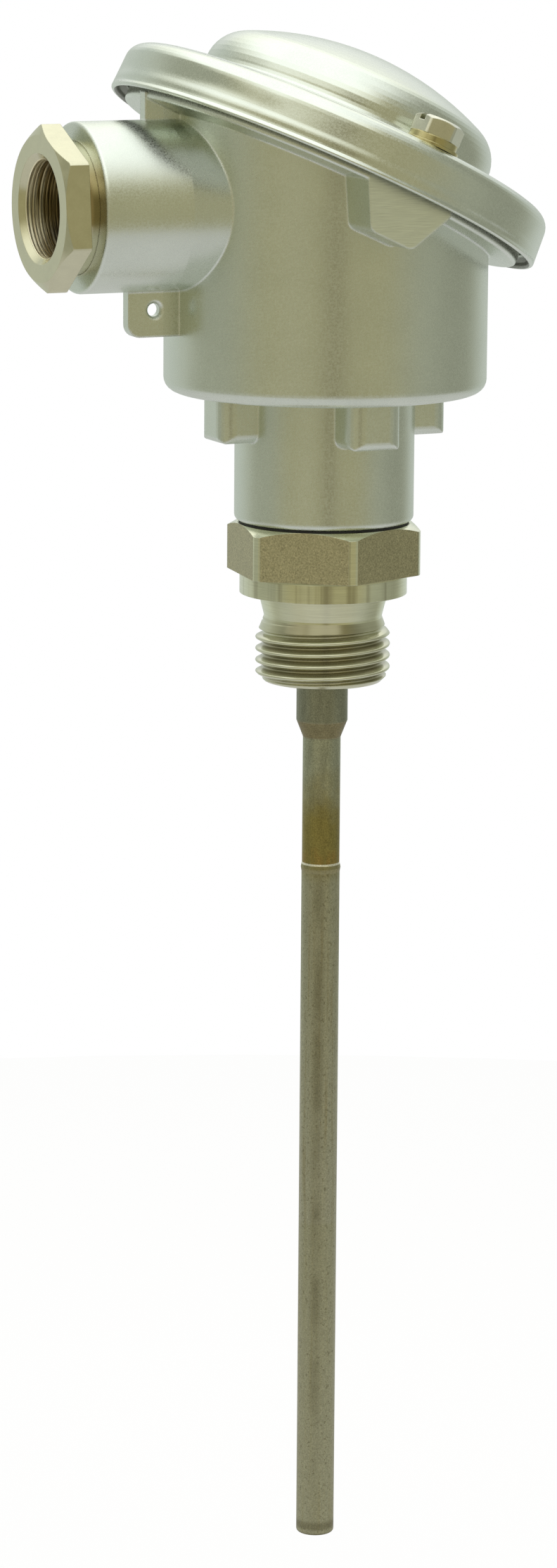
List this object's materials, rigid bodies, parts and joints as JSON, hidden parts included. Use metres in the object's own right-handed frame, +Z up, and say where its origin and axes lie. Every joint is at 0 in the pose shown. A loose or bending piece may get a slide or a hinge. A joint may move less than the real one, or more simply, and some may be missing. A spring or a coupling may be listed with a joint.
{
  "type": "resistance thermometer probe with connection head",
  "caption": "Temperature probe: slim closed tube on a stem and hexagon pipe-thread fitting, under a cast connection head with a sloping domed lid and side cable gland.",
  "frame": {"origin": "centre of the process fitting's seal face, on the probe's axis", "axes": "+Z up the probe's axis towards the head, -X towards the cable entry; the lid slopes down towards +X"},
  "size_m": [0.0804, 0.07, 0.2395],
  "materials": {
    "cast_alloy": "satin, clear lacquer over cast aluminium",
    "nickel_brass": "machined, nickel plated",
    "screw_steel": "zinc plated, yellow passivated",
    "fitting_steel": "blasted stainless steel, turned collar and thread",
    "stem_steel": "turned stainless steel with heat tint at the weld",
    "tube_steel": "drawn stainless steel tube",
    "seal_rubber": "matt black",
    "white_ceramic": "unglazed",
    "terminal_brass": "machined",
    "zinc_steel": "zinc plated",
    "lead_sleeve": "insulated wire",
    "potting": "cast resin"
  },
  "bodies": {
    "probe": {"head_body": "cast_alloy", "gland_washers": "zinc_steel", "gland_seal": "seal_rubber", "process_fitting": "fitting_steel", "neck_seal": "seal_rubber", "stem": "stem_steel", "protecting_tube": "tube_steel", "tip_plug": "stem_steel", "sensing_element": "white_ceramic", "lead_insulator": "white_ceramic", "lead_wires": "lead_sleeve", "resin_plug": "potting", "terminal_block": "white_ceramic", "terminal_clamps": "terminal_brass", "terminal_screws": "terminal_brass", "block_screws": "zinc_steel", "block_washers": "zinc_steel", "earth_screw": "terminal_brass", "earth_washer": "terminal_brass"},
    "lid": {"lid": "cast_alloy", "lid_gasket": "seal_rubber", "lid_spring_washers": "screw_steel", "lid_flat_washers": "screw_steel"},
    "front_lid_screw": {"lid_screw_front": "screw_steel"},
    "back_lid_screw": {"lid_screw_back": "screw_steel"},
    "gland": {"gland_screw": "nickel_brass"}
  },
  "joints": [
    {"name": "lid_lift", "type": "slide", "parent": "probe", "child": "lid", "axis": [0.4226, 0, 0.9063], "range_m": [0, 0.03]},
    {"name": "front_screw_turn", "type": "hinge", "parent": "lid", "child": "front_lid_screw", "pos_m": [0.00028, -0.0285, 0.06345], "axis": [0.4226, 0, 0.9063], "continuous": true},
    {"name": "back_screw_turn", "type": "hinge", "parent": "lid", "child": "back_lid_screw", "pos_m": [0.00028, 0.0285, 0.06345], "axis": [0.4226, 0, 0.9063], "continuous": true},
    {"name": "gland_screw_turn", "type": "hinge", "parent": "probe", "child": "gland", "pos_m": [-0.0435, 0, 0.0606], "axis": [-1, 0, 0], "continuous": true}
  ]
}
